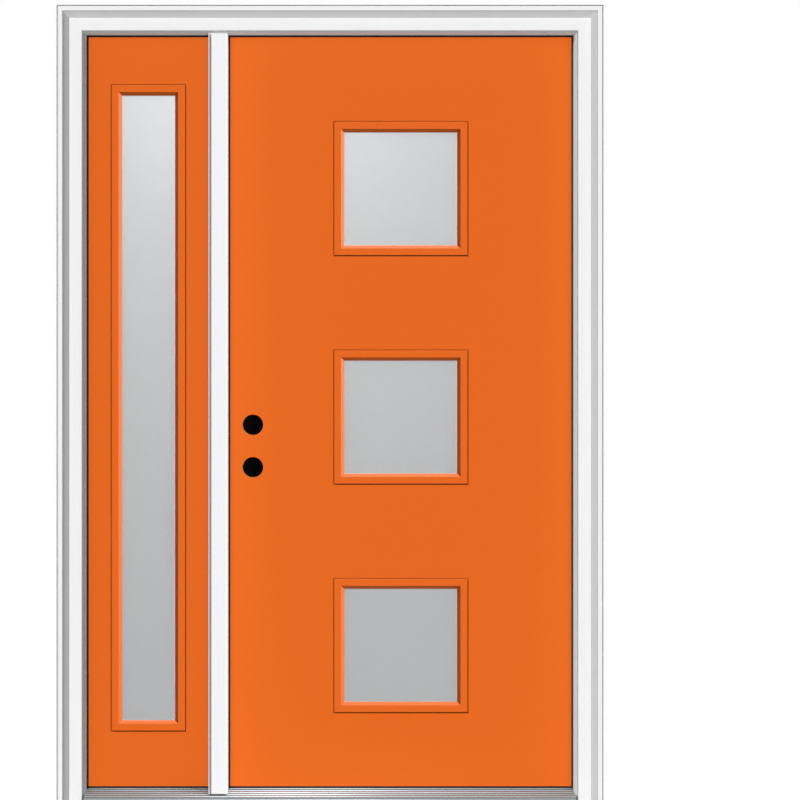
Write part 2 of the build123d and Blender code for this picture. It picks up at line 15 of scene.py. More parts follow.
import bmesh
import bpy
import numpy as np
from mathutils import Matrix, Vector

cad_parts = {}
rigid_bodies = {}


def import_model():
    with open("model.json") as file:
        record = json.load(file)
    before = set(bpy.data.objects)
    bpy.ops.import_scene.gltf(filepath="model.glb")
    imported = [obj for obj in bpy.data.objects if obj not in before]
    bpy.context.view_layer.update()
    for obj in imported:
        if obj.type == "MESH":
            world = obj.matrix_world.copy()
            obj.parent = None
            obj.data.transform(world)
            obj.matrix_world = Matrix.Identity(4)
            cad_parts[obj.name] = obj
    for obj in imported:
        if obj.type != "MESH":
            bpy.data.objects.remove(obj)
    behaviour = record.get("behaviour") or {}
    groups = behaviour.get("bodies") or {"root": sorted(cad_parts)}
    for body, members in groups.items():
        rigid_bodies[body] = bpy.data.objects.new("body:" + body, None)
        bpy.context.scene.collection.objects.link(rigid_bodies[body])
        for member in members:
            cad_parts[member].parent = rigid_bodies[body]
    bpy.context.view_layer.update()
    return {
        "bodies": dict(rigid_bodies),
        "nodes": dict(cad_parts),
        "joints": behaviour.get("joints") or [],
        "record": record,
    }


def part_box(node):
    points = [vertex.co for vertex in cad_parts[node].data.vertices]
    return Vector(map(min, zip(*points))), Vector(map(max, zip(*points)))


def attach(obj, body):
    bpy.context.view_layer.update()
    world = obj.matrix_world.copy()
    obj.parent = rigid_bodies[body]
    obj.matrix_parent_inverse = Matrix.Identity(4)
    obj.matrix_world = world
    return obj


LOG = logging.getLogger("entry_door")
MM = 0.001

# Points of a new surface that lie within this distance are one point
MERGE_MM = 0.0005

# Colour sockets of Blender's mix node, which has one set of sockets for each kind of data
MIX_FIRST = 6
MIX_SECOND = 7
MIX_RESULT = 2


class Body(Enum):
    """The two bodies of the unit."""

    FRAME = "frame"
    DOOR = "door"


class Pattern(Enum):
    """Texture nodes that a finish may take its pattern from."""

    NOISE = "ShaderNodeTexNoise"
    CELLS = "ShaderNodeTexVoronoi"


class LampKind(Enum):
    """Kinds of studio lamp."""

    SUN = "SUN"
    AREA = "AREA"


def linear(colour: str) -> tuple[float, float, float, float]:
    """Turn an sRGB hex colour into linear light, by that standard's own curve.

    Args:
        colour: Six hex digits after a hash sign.

    Returns:
        Red, green, blue and full opacity for a colour socket.
    """
    channels = []
    for start in (1, 3, 5):
        value = int(colour[start:start + 2], 16) / 255
        channels.append(value / 12.92 if value <= 0.04045 else ((value + 0.055) / 1.055) ** 2.4)
    return (channels[0], channels[1], channels[2], 1.0)


def add_node(tree: bpy.types.NodeTree, kind: str, inputs: Optional[dict[Any, Any]] = None,
             **settings: Any) -> bpy.types.Node:
    """Add one shader node with its settings, its values and its links.

    Args:
        tree: Node tree that takes the node.
        kind: Blender's name for the node's type.
        inputs: Socket name or number to a plain value, or to the output socket that feeds it.
        settings: Attributes of the node.

    Returns:
        The new node.
    """
    node = tree.nodes.new(kind)
    for name, value in settings.items():
        setattr(node, name, value)
    for socket, value in (inputs or {}).items():
        if isinstance(value, bpy.types.NodeSocket):
            tree.links.new(value, node.inputs[socket])
        else:
            node.inputs[socket].default_value = value
    return node


@dataclass(frozen=True)
class Finish:
    """What a surface is made of, and how it takes light.

    A pattern in Object coordinates drives three things: the tone between two colours, the roughness between
    two values and a bump. Its pitch is the pattern's real spacing along X, Y and Z. A finish with a bounce
    colour throws that colour, not its own, on what stands beside it.
    """

    name: str
    colour: str
    second: str
    roughness: tuple[float, float]
    pitch_mm: tuple[float, float, float]
    bump_mm: float
    bump_strength: float = 1.0
    metallic: float = 0.0
    specular: float = 0.5
    transmission: float = 0.0
    bounce: Optional[str] = None
    pattern: Pattern = Pattern.NOISE
    detail: float = 2.0
    spread: tuple[float, float] = (0.3, 0.7)

    def material(self) -> bpy.types.Material:
        """Give the material of this finish, made on its first use.

        Returns:
            The material, with its constant values on the shader's own sockets.
        """
        found = bpy.data.materials.get(self.name)
        if found:
            return found
        made = bpy.data.materials.new(self.name)
        made.use_nodes = True
        tree = made.node_tree
        tree.nodes.clear()
        place = add_node(tree, "ShaderNodeTexCoord")
        scale = tuple(1.0 / (pitch * MM) for pitch in self.pitch_mm)
        mapping = add_node(tree, "ShaderNodeMapping", {"Vector": place.outputs["Object"], "Scale": scale})
        texture = add_node(tree, self.pattern.value, {
            "Vector": mapping.outputs["Vector"],
            "Scale": 1.0,
            "Detail": self.detail,
        })
        signal = texture.outputs[0]
        low, high = self.spread
        tone = add_node(tree, "ShaderNodeMapRange", {"Value": signal, "From Min": low, "From Max": high})
        colour = add_node(tree, "ShaderNodeMix", {
            "Factor": tone.outputs["Result"],
            MIX_FIRST: linear(self.colour),
            MIX_SECOND: linear(self.second),
        }, data_type="RGBA")
        tint = colour.outputs[MIX_RESULT]
        if self.bounce:
            path = add_node(tree, "ShaderNodeLightPath")
            thrown = add_node(tree, "ShaderNodeMix", {
                "Factor": path.outputs["Is Diffuse Ray"],
                MIX_FIRST: tint,
                MIX_SECOND: linear(self.bounce),
            }, data_type="RGBA")
            tint = thrown.outputs[MIX_RESULT]
        sheen = add_node(tree, "ShaderNodeMapRange", {
            "Value": signal,
            "From Min": low,
            "From Max": high,
            "To Min": self.roughness[0],
            "To Max": self.roughness[1],
        })
        bump = add_node(tree, "ShaderNodeBump", {
            "Height": signal,
            "Strength": self.bump_strength,
            "Distance": self.bump_mm * MM,
        })
        shader = add_node(tree, "ShaderNodeBsdfPrincipled", {
            "Base Color": tint,
            "Roughness": sheen.outputs["Result"],
            "Normal": bump.outputs["Normal"],
            "Metallic": self.metallic,
            "Specular IOR Level": self.specular,
            "Transmission Weight": self.transmission,
        })
        add_node(tree, "ShaderNodeOutputMaterial", {"Surface": shader.outputs["BSDF"]})
        return made


# Enamel baked on smooth steel sheet: an even satin orange whose faint peel softens what it reflects. The
# peel is about 1 mm across and is drawn at 4 mm, so that it shows.
ENAMEL = Finish("baked_enamel_on_steel", "#E4681E", "#E2661D", (0.42, 0.48), (4.0, 4.0, 4.0), 0.01,
                specular=0.12, bounce="#7E7A78")

# The same paint on a moulded frame, a little glossier than on the sheet
FRAME_ENAMEL = replace(ENAMEL, name="enamel_on_moulded_frame", roughness=(0.34, 0.40))

# Brushed satin paint on pine trim: flat white with shallow brush marks along the grain. The marks are about
# 1 mm apart and are drawn at 5 mm, so that they show.
TRIM_UPRIGHT = Finish("satin_paint_on_upright_pine", "#F5F5F5", "#F2F2F2", (0.48, 0.56),
                      (5.0, 5.0, 260.0), 0.03, specular=0.12)
TRIM_LEVEL = replace(TRIM_UPRIGHT, name="satin_paint_on_level_pine", pitch_mm=(260.0, 5.0, 5.0))

# Extruded aluminium as it left the die: grey metal with lines along its length. Die lines are far under a
# millimetre and are drawn at 2 mm, so that they show.
SILL_METAL = Finish("mill_finish_aluminium", "#959B9D", "#818588", (0.46, 0.58), (420.0, 2.0, 2.0), 0.03,
                    metallic=1.0)
SPACER_METAL = replace(SILL_METAL, name="rolled_spacer_aluminium", colour="#E9EAEB", second="#E2E3E4",
                       pitch_mm=(3.0, 3.0, 3.0))

# Acid-etched float glass: pale grey, part see-through and part milky, with a fine tooth that blurs all
# behind it. The tooth is far under a millimetre and is drawn at 3 mm, so that it shows.
ETCHED_GLASS = Finish("acid_etched_glass", "#D4D5D6", "#D0D1D2", (0.40, 0.46), (3.0, 3.0, 3.0), 0.02,
                      transmission=0.65)

# Silicone tooled into the corner between glass and frame: pale, soft and slightly glossy
SILICONE = Finish("tooled_clear_silicone", "#B5B8BA", "#ABAFB1", (0.30, 0.40), (8.0, 8.0, 8.0), 0.05)

# Paintable sealant, dark grey as painted shade: a dull line that deepens a narrow groove's shade to an
# outline
SEALANT_AND_GROOVE_SHADE = Finish("grey_sealant_and_groove_shade", "#343434", "#2C2C2C", (0.60, 0.75), (6.0, 6.0, 6.0), 0.05,
                 specular=0.2)

# Foam-filled vinyl seals: matte black with a soft grain
SEAL = Finish("black_vinyl_seal", "#0D0D0D", "#181818", (0.60, 0.75), (3.0, 3.0, 3.0), 0.05, specular=0.3)

# Nickel-plated stamped steel, brushed along the hinge's height: warm grey metal with a soft upright sheen.
# Brush lines are far under a millimetre and are drawn at 1.6 mm, so that they show.
HINGE_METAL = Finish("satin_nickel_plate", "#BDB9B1", "#A29E96", (0.28, 0.40), (1.6, 1.6, 70.0), 0.02,
                     metallic=1.0)

# The same plate on turned screw heads, brighter and without a direction
SCREW_METAL = replace(HINGE_METAL, name="turned_nickel_plate", pitch_mm=(1.2, 1.2, 1.2),
                      roughness=(0.22, 0.32))

# Planed pine, unpainted: pale wood with darker late-wood lines along the length of each bar
PINE_UPRIGHT = Finish("planed_pine_upright", "#DDBE8F", "#B98F58", (0.58, 0.70), (6.0, 6.0, 180.0), 0.12,
                      specular=0.3, detail=4.0, spread=(0.38, 0.66))
PINE_LEVEL = replace(PINE_UPRIGHT, name="planed_pine_level", pitch_mm=(180.0, 6.0, 6.0))

# Rigid foam: cream, with fine cells. They are under half a millimetre and are drawn at 2 mm, so that they
# show.
FOAM = Finish("rigid_foam", "#DDD3AC", "#CFC498", (0.80, 0.90), (2.0, 2.0, 2.0), 0.3, specular=0.2,
              pattern=Pattern.CELLS)

# Moulded wood-and-plastic composite: brown-grey, with flecks of fibre
COMPOSITE = Finish("moulded_composite", "#62584E", "#4A423A", (0.65, 0.80), (9.0, 3.0, 3.0), 0.1,
                   specular=0.3)

# Black moulded plastic, spark-eroded and nearly without shine, near pure black as painted shade of a deep
# bore
BLACK_PLUG_AND_BORE_SHADE = Finish("black_plastic_and_bore_shade", "#030303", "#060606", (0.80, 0.90), (1.5, 1.5, 1.5), 0.04,
                     specular=0.05)


def surface_object(name: str, grids: np.ndarray, wrap_rows: bool) -> bpy.types.Object:
    """Make one closed mesh object from copies of a grid whose columns run round and meet.

    Args:
        name: Name of the object and its mesh.
        grids: Points as copies, rows, columns and X, Y, Z.
        wrap_rows: Whether the last row meets the first, as on a ring. Otherwise both end rows are poles.

    Returns:
        The object, at the origin, with its doubles merged and its faces pointing outwards.
    """
    copies, rows, columns, _ = grids.shape
    row, column = np.meshgrid(np.arange(rows if wrap_rows else rows - 1), np.arange(columns), indexing="ij")
    next_row = (row + 1) % rows
    next_column = (column + 1) % columns
    corners = np.stack([
        row * columns + column,
        next_row * columns + column,
        next_row * columns + next_column,
        row * columns + next_column,
    ], axis=-1).reshape(1, -1, 4)
    starts = np.arange(copies).reshape(-1, 1, 1) * rows * columns
    faces = (corners + starts).reshape(-1, 4)
    mesh = bpy.data.meshes.new(name)
    mesh.from_pydata(grids.reshape(-1, 3).tolist(), [], faces.tolist())
    shell = bmesh.new()
    shell.from_mesh(mesh)
    bmesh.ops.remove_doubles(shell, verts=shell.verts, dist=MERGE_MM * MM)
    bmesh.ops.recalc_face_normals(shell, faces=shell.faces)
    shell.to_mesh(mesh)
    shell.free()
    made = bpy.data.objects.new(name, mesh)
    bpy.context.scene.collection.objects.link(made)
    return made


def carried(shape: np.ndarray, centres: np.ndarray, normal: tuple[float, float, float]) -> np.ndarray:
    """Carry one shape to many places: centre + u * right + v * up + w * normal.

    Up is as near to upright as the normal allows, or points into the building where the normal is upright.

    Args:
        shape: Grid of points u, v, w about the shape's own axis w.
        centres: One point for each copy.
        normal: Direction that the shape's axis takes.

    Returns:
        Points as copies, rows, columns and X, Y, Z.
    """
    outward = np.asarray(normal, float)
    upright = np.array([0.0, 0.0, 1.0])
    inward = np.array([0.0, 1.0, 0.0])
    right = np.cross(inward if np.allclose(np.abs(outward), upright) else upright, outward)
    up = np.cross(outward, right)
    return centres[:, None, None, :] + shape @ np.stack([right, up, outward])


@dataclass(frozen=True)
class ScrewHead:
    """Countersunk head with a cross recess."""

    radius_mm: float = 4.4
    dome_mm: float = 0.2
    sink_mm: float = 2.2
    recess_mm: float = 1.6
    arm_width_mm: float = 1.3
    arm_reach_mm: float = 2.7
    edge_mm: float = 0.35
    rings: int = 16
    turns: int = 48

    def surface(self) -> np.ndarray:
        """Work out one head about its own axis.

        The top is a shallow dome, its height falling with the square of the radius, less a recess that is
        deepest in the middle and fades to the arms' ends. A point is in an arm where its smaller distance
        from the two arm lines is under half the arm's width. A last row on the axis closes the cone below.

        Returns:
            Points as rows, columns and X, Y, Z.
        """
        turn = np.linspace(0.0, 2.0 * math.pi, self.turns, endpoint=False)
        radius = np.linspace(0.0, self.radius_mm, self.rings)[:, None]
        x = radius * np.cos(turn)
        y = radius * np.sin(turn)
        off_arm = np.minimum(np.abs(x), np.abs(y))
        inside = np.clip((self.arm_width_mm / 2 - off_arm) / self.edge_mm + 0.5, 0.0, 1.0)
        fade = np.clip((self.arm_reach_mm - radius) / self.arm_reach_mm, 0.0, 1.0) ** 0.5
        top = self.dome_mm * (1.0 - (radius / self.radius_mm) ** 2) - self.recess_mm * inside * fade
        cap = np.stack([x, y, np.broadcast_to(top, x.shape)], axis=-1)
        tip = np.zeros((1, self.turns, 3))
        tip[..., 2] = -self.sink_mm
        return np.concatenate([cap, tip]) * MM


@dataclass(frozen=True)
class Plug:
    """Small domed plug that hides a screw."""

    radius_mm: float = 4.5
    height_mm: float = 1.1
    sink_mm: float = 1.0
    rings: int = 7
    turns: int = 24

    def surface(self) -> np.ndarray:
        """Work out one plug about its own axis.

        The crown is a quarter of an ellipse turned about the axis: the radius follows the sine and the
        height the cosine of one angle. A last row on the axis closes the stem below.

        Returns:
            Points as rows, columns and X, Y, Z.
        """
        turn = np.linspace(0.0, 2.0 * math.pi, self.turns, endpoint=False)
        swing = np.linspace(0.0, math.pi / 2, self.rings)[:, None]
        x = self.radius_mm * np.sin(swing) * np.cos(turn)
        y = self.radius_mm * np.sin(swing) * np.sin(turn)
        z = np.broadcast_to(self.height_mm * np.cos(swing), x.shape)
        crown = np.stack([x, y, z], axis=-1)
        tip = np.zeros((1, self.turns, 3))
        tip[..., 2] = -self.sink_mm
        return np.concatenate([crown, tip]) * MM


@dataclass(frozen=True)
class Lite:
    """Where one lite's flange and the faces of its glass are."""

    low: Vector
    high: Vector
    glass_front: float
    glass_back: float

    @classmethod
    def of(cls, frame_node: str, glass_node: str) -> "Lite":
        """Read one lite from the model.

        Args:
            frame_node: Node of the lite's frame.
            glass_node: Node of its glass.

        Returns:
            The lite, with its flange's corners and its glass faces.
        """
        low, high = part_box(frame_node)
        glass_low, glass_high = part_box(glass_node)
        return cls(low, high, glass_low.y, glass_high.y)


@dataclass(frozen=True)
class GlazingBead:
    """Silicone tooled into the corner between the glass and the frame's bevel.

    The frame's profile is as wide as the way from its outer edge to that corner.
    """

    profile_mm: float = 27.0
    reach_mm: float = 1.0
    rise_mm: float = 0.8
    bevel_run: float = 0.75
    points: int = 6

    def surface(self, lites: list[Lite]) -> np.ndarray:
        """Carry the bead's section along the four sides of each lite, on both faces of its glass.

        The section is a hollow curve from the glass to the bevel, where the distance along the glass follows
        one minus the sine and the height one minus the cosine of one angle, and the corner closes it. A
        corner of the path moves inwards by the distance on both of its sides, which mitres the bead.

        Args:
            lites: The lites to bead.

        Returns:
            Points as copies, corners, section points and X, Y, Z.
        """
        swing = np.linspace(0.0, math.pi / 2, self.points)
        height = self.rise_mm * (1.0 - np.cos(swing))
        along = self.reach_mm * (1.0 - np.sin(swing)) - self.bevel_run * height
        along = np.append(along, 0.0) * MM
        height = np.append(height, 0.0) * MM
        sides = np.array([(-1, -1), (1, -1), (1, 1), (-1, 1)], float)
        copies = []
        for lite in lites:
            centre = (lite.low + lite.high) / 2
            half = (lite.high - lite.low) / 2
            x = centre.x + sides[:, :1] * (half.x - self.profile_mm * MM - along)
            z = centre.z + sides[:, 1:] * (half.z - self.profile_mm * MM - along)
            for face, outward in ((lite.glass_front, -1.0), (lite.glass_back, 1.0)):
                y = np.broadcast_to(face + outward * height, x.shape)
                copies.append(np.stack([x, y, z], axis=-1))
        return np.array(copies)


@dataclass
class SubAssembly:
    """Nodes that belong together, their finishes and the small pieces fastened to them."""

    nodes: dict[str, bpy.types.Object]
    pieces: list[bpy.types.Object] = field(default_factory=list)

    def finishes(self) -> dict[str, Finish]:
        """Give each node of this sub-assembly its finish, by node name."""
        return {}

    def build(self) -> None:
        """Make the pieces that the model leaves to the looks; most sub-assemblies have none."""

    def dress(self) -> None:
        """Put each node's finish on its object."""
        for name, finish in self.finishes().items():
            put_on(self.nodes[name], finish)

    def fasten(self, piece: bpy.types.Object, finish: Finish, body: Body, slot: str) -> None:
        """Finish a new piece and let it ride.

        Args:
            piece: The piece, in place.
            finish: What it is made of.
            body: The body that carries it.
            slot: Name of one of the record's material slots; not used.
        """
        put_on(piece, finish)
        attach(piece, body.value)
        self.pieces.append(piece)


def put_on(target: bpy.types.Object, finish: Finish) -> None:
    """Make a finish the one material of an object."""
    target.data.materials.clear()
    target.data.materials.append(finish.material())


@dataclass
class Trim(SubAssembly):
    """White wood round the unit, with dark sealant in the brickmould's outer groove as painted shade."""

    groove_middle_mm: float = 2.5
    groove_floor_mm: float = 5.0
    sealant_width_mm: float = 1.9
    sealant_depth_mm: float = 1.2
    sealant_sag_mm: float = 0.5
    sealant_points: int = 7

    def build(self) -> None:
        """Lay the sealant up one leg, across the head and down the other leg."""
        # The sealant's dark grey is painted shade that deepens the groove's own shade to an outline
        line = surface_object("brickmould_sealant_shade_line", self.sealant_shade_surface()[None], False)
        self.fasten(line, SEALANT_AND_GROOVE_SHADE, Body.FRAME, "seal_black")

    def sealant_shade_surface(self) -> np.ndarray:
        """Carry the sealant's section along its path, with mitred corners.

        The section is flat below and hollow above, where the height falls by the sag times one minus the
        square of the place across. A corner of the path moves out by the place across on both of its sides.
        The end rows gather at the section's middle, which closes the ends.

        Returns:
            Points as rows, columns and X, Y, Z.
        """
        low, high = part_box("brickmould_head")
        share = np.linspace(-1.0, 1.0, self.sealant_points)
        top = self.sealant_depth_mm - self.sealant_sag_mm * (1.0 - share**2)
        across = np.concatenate([share, share[::-1]]) * self.sealant_width_mm / 2 * MM
        height = np.concatenate([top, np.zeros_like(top)]) * MM
        middle = self.groove_middle_mm * MM
        stations = np.array([(low.x, 1, 0), (low.x, 1, 1), (high.x, -1, 1), (high.x, -1, 0)])
        x = stations[:, :1] + stations[:, 1:2] * (middle + across)
        z = stations[:, 2:] * (high.z - middle - across)
        y = np.broadcast_to(low.y + self.groove_floor_mm * MM - height, x.shape)
        rows = np.stack([x, y, z], axis=-1)
        ends = np.broadcast_to(rows[[0, -1]].mean(axis=1, keepdims=True), (2,) + rows.shape[1:])
        return np.concatenate([ends[:1], rows, ends[1:]])

    def finishes(self) -> dict[str, Finish]:
        """Paint the upright wood along its height and the head along its length.

        Returns:
            Node name to finish.
        """
        upright = ("brickmould_left", "brickmould_right", "mullion_casing", "mullion_post", "hinge_jamb",
                   "sidelite_jamb")
        level = ("brickmould_head", "head_jamb")
        return {**dict.fromkeys(upright, TRIM_UPRIGHT), **dict.fromkeys(level, TRIM_LEVEL)}


@dataclass
class Sill(SubAssembly):
    """Composite base, ribbed aluminium deck and the two caps, with the threshold's adjusting screws."""

    screw: ScrewHead = ScrewHead(radius_mm=5.0, dome_mm=0.15, sink_mm=2.5)
    screw_count: int = 4
    screw_margin_mm: float = 110.0

    def finishes(self) -> dict[str, Finish]:
        """Leave the metal as extruded and the base as moulded."""
        metal = dict.fromkeys(("sill_deck", "threshold_cap", "sidelite_cap"), SILL_METAL)
        return {**metal, "sill_substrate": COMPOSITE}

    def build(self) -> None:
        """Set the adjusting screws flush in the threshold, in one row under the slab."""
        low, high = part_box("threshold_cap")
        margin = self.screw_margin_mm * MM
        x = np.linspace(low.x + margin, high.x - margin, self.screw_count)
        y = np.full_like(x, (low.y + high.y) / 2)
        centres = np.stack([x, y, np.full_like(x, high.z)], axis=-1)
        grids = carried(self.screw.surface(), centres, (0, 0, 1))
        screws = surface_object("threshold_screws", grids, False)
        self.fasten(screws, SCREW_METAL, Body.FRAME, "cap_aluminium")


@dataclass
class Seals(SubAssembly):
    """Black seals round the slab and the fixed panel."""

    def finishes(self) -> dict[str, Finish]:
        """Make every seal of the same vinyl."""
        names = ("weatherstrip_sides", "weatherstrip_head", "sidelite_gasket", "sidelite_bottom_gasket",
                 "door_sweep")
        return dict.fromkeys(names, SEAL)


@dataclass
class Glazing(SubAssembly):
    """Lite frames and glass of one panel, with their beads and the plugs over the frames' screws."""

    label: str = "door"
    body: Body = Body.DOOR
    exterior: tuple[str, ...] = ()
    interior: tuple[str, ...] = ()
    glass: tuple[str, ...] = ()
    spacer: str = "glass_spacers"
    plugs_across: int = 2
    plugs_up: int = 2
    plug_inset_mm: float = 9.0
    bead: GlazingBead = GlazingBead()
    plug: Plug = Plug()

    def finishes(self) -> dict[str, Finish]:
        """Paint the frames with the slab, and etch the glass."""
        frames = dict.fromkeys(self.exterior + self.interior, FRAME_ENAMEL)
        return {**frames, **dict.fromkeys(self.glass, ETCHED_GLASS), self.spacer: SPACER_METAL}

    def build(self) -> None:
        """Run the beads round the glass and set the plugs on the interior frames."""
        lites = [Lite.of(frame, glass) for frame, glass in zip(self.exterior, self.glass)]
        beads = surface_object(f"{self.label}_glazing_beads", self.bead.surface(lites), True)
        self.fasten(beads, SILICONE, self.body, "frosted_glass")
        centres = np.concatenate([self.plug_places(frame) for frame in self.interior])
        grids = carried(self.plug.surface(), centres, (0, 1, 0))
        plugs = surface_object(f"{self.label}_screw_plugs", grids, False)
        self.fasten(plugs, FRAME_ENAMEL, self.body, "lite_frame_paint")

    def plug_places(self, frame: str) -> np.ndarray:
        """Spread the plugs evenly along the four sides of one interior frame's flange.

        Args:
            frame: Node of the interior frame.

        Returns:
            One point for each plug, on the flange's face.
        """
        low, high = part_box(frame)
        inset = self.plug_inset_mm * MM
        across = np.linspace(low.x, high.x, 2 * self.plugs_across + 1)[1::2]
        up = np.linspace(low.z, high.z, 2 * self.plugs_up + 1)[1::2]
        rows = [(x, high.y, z) for z in (low.z + inset, high.z - inset) for x in across]
        columns = [(x, high.y, z) for x in (low.x + inset, high.x - inset) for z in up]
        return np.array(rows + columns)


@dataclass
class Slab(SubAssembly):
    """Steel skins of the door and the fixed panel, and what they enclose."""

    def finishes(self) -> dict[str, Finish]:
        """Paint the skins, and leave the wood and the foam bare.

        Returns:
            Node name to finish.
        """
        skins = ("door_skin_exterior", "door_skin_interior", "sidelite_skin_exterior",
                 "sidelite_skin_interior")
        upright = ("hinge_stile", "lock_stile", "lock_block", "sidelite_core")
        level = ("top_rail", "bottom_rail")
        return {
            **dict.fromkeys(skins, ENAMEL),
            **dict.fromkeys(upright, PINE_UPRIGHT),
            **dict.fromkeys(level, PINE_LEVEL),
            "foam_core": FOAM,
            # The bore covers are near pure black as painted shade, so that each bore reads as a deep hole
            "lock_bore_covers": BLACK_PLUG_AND_BORE_SHADE,
        }


@dataclass
class Hinges(SubAssembly):
    """Three butt hinges with four screws in each leaf."""

    places: tuple[str, ...] = ("top", "middle", "bottom")
    screw: ScrewHead = ScrewHead()
    screw_depths_mm: tuple[float, float] = (11.0, 25.0)
    screw_heights_mm: tuple[float, float] = (38.0, 14.0)

    def finishes(self) -> dict[str, Finish]:
        """Plate the leaves and the pins alike."""
        leaves = [f"hinge_leaf_{side}_{place}" for side in ("frame", "door") for place in self.places]
        return dict.fromkeys([*leaves, "hinge_pins"], HINGE_METAL)

    def build(self) -> None:
        """Set the screws flush in the leaves, on the faces that meet when the door is shut.

        The frame's leaves lie flush in the jamb, where the threshold ends, and the door's in the slab.
        """
        faces = (
            (Body.FRAME, "hinge_leaf_frame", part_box("threshold_cap")[1].x, -1.0),
            (Body.DOOR, "hinge_leaf_door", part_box("hinge_stile")[1].x, 1.0),
        )
        for body, leaf, face_x, outward in faces:
            places = [self.screw_places(f"{leaf}_{place}", face_x) for place in self.places]
            grids = carried(self.screw.surface(), np.concatenate(places), (outward, 0, 0))
            screws = surface_object(f"{leaf}_screws", grids, False)
            self.fasten(screws, SCREW_METAL, body, "hinge_steel")

    def screw_places(self, leaf: str, face_x: float) -> np.ndarray:
        """Stagger four screws on one leaf, the outer pair deeper in the door than the inner pair.

        Args:
            leaf: Node of the leaf.
            face_x: Where the leaf's open face lies.

        Returns:
            One point for each screw.
        """
        low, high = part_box(leaf)
        middle = (low.z + high.z) / 2
        places = []
        for depth, height in zip(self.screw_depths_mm, self.screw_heights_mm):
            for sign in (-1.0, 1.0):
                places.append((face_x, low.y + depth * MM, middle + sign * height * MM))
        return np.array(places)


@dataclass(frozen=True)
class Key:
    """Far soft lamp for the pieces whose names start as it says, shaded only by those that it also names."""

    name: str
    toward: tuple[float, float, float]
    level: float
    spread_deg: float
    lights: tuple[str, ...] = ("",)
    shadows: tuple[str, ...] = ("",)

    def hang(self, lit: list[bpy.types.Object], blockers: list[bpy.types.Object]) -> None:
        """Hang the lamp for its pieces.

        A surface that faces the camera takes a share of the lamp's strength, the cosine of its angle to the
        lamp, so the strength is the level that such a surface shall show times pi over that cosine. For a
        rim lamp, which stands behind that surface's plane, it is the same with the sign left off.

        Args:
            lit: The pieces that the lamp lights.
            blockers: The pieces that cast its shadows.
        """
        direction = Vector(self.toward).normalized()
        data = bpy.data.lights.new(self.name, LampKind.SUN.value)
        data.energy = self.level * math.pi / abs(direction.y)
        data.angle = math.radians(self.spread_deg)
        lamp = bpy.data.objects.new(self.name, data)
        lamp.rotation_mode = "QUATERNION"
        lamp.rotation_quaternion = direction.to_track_quat("Z", "Y")
        bpy.context.scene.collection.objects.link(lamp)
        link_light(lamp, lit, blockers)


@dataclass(frozen=True)
class Softbox:
    """Square lamp near the unit, hidden from the camera, that picks its pieces as a key does."""

    name: str
    place: tuple[float, float, float]
    aim: tuple[float, float, float]
    side: float
    watts: float
    lights: tuple[str, ...] = ("",)
    shadows: tuple[str, ...] = ("",)

    def hang(self, lit: list[bpy.types.Object], blockers: list[bpy.types.Object]) -> None:
        """Hang the lamp for its pieces.

        Args:
            lit: The pieces that the lamp lights.
            blockers: The pieces that cast its shadows.
        """
        data = bpy.data.lights.new(self.name, LampKind.AREA.value)
        data.size = self.side
        data.energy = self.watts
        lamp = bpy.data.objects.new(self.name, data)
        lamp.location = self.place
        lamp.rotation_mode = "QUATERNION"
        lamp.rotation_quaternion = (Vector(self.place) - Vector(self.aim)).to_track_quat("Z", "Y")
        lamp.visible_camera = False
        bpy.context.scene.collection.objects.link(lamp)
        link_light(lamp, lit, blockers)


def link_light(lamp: bpy.types.Object, lit: list[bpy.types.Object],
               blockers: list[bpy.types.Object]) -> None:
    """Let a lamp light only some pieces, and let only some cast its shadows.

    Args:
        lamp: The lamp's object.
        lit: The pieces that it lights.
        blockers: The pieces that cast its shadows.
    """
    receiver_group = bpy.data.collections.new(f"{lamp.name}_lit")
    for piece in lit:
        receiver_group.objects.link(piece)
    blocker_group = bpy.data.collections.new(f"{lamp.name}_blockers")
    for piece in blockers:
        blocker_group.objects.link(piece)
    lamp.light_linking.receiver_collection = receiver_group
    lamp.light_linking.blocker_collection = blocker_group


def named(pieces: list[bpy.types.Object], starts: tuple[str, ...]) -> list[bpy.types.Object]:
    """Pick the pieces whose names start in one of some ways."""
    return [piece for piece in pieces if piece.name.startswith(starts)]


# How the names of the pieces start that a lamp lights or is shaded by, from the steel faces with all that is
# set in them to what shows from behind
FACE_PIECES = ("door_skin", "sidelite_skin", "lite_", "sidelite_lite", "sidelite_glass", "sidelite_screw",
               "sidelite_glazing", "door_glazing", "door_screw", "lock_bore")
SKINS = ("door_skin", "sidelite_skin")
LITE_FRAMES = ("lite_frame", "sidelite_lite")
OUTER_FRAMES = ("lite_frame_exterior", "sidelite_lite_exterior")
SILL_PIECES = ("sill_", "threshold_", "sidelite_cap")
GLASS_PIECES = ("lite_glass", "sidelite_glass", "door_glazing", "sidelite_glazing")
BACK_PIECES = ("brickmould", "bottom_", "door_", "foam_", "glass_", "head_", "hinge_", "lite_", "lock_",
               "mullion", "sidelite_", "sill_substrate", "top_", "weatherstrip")


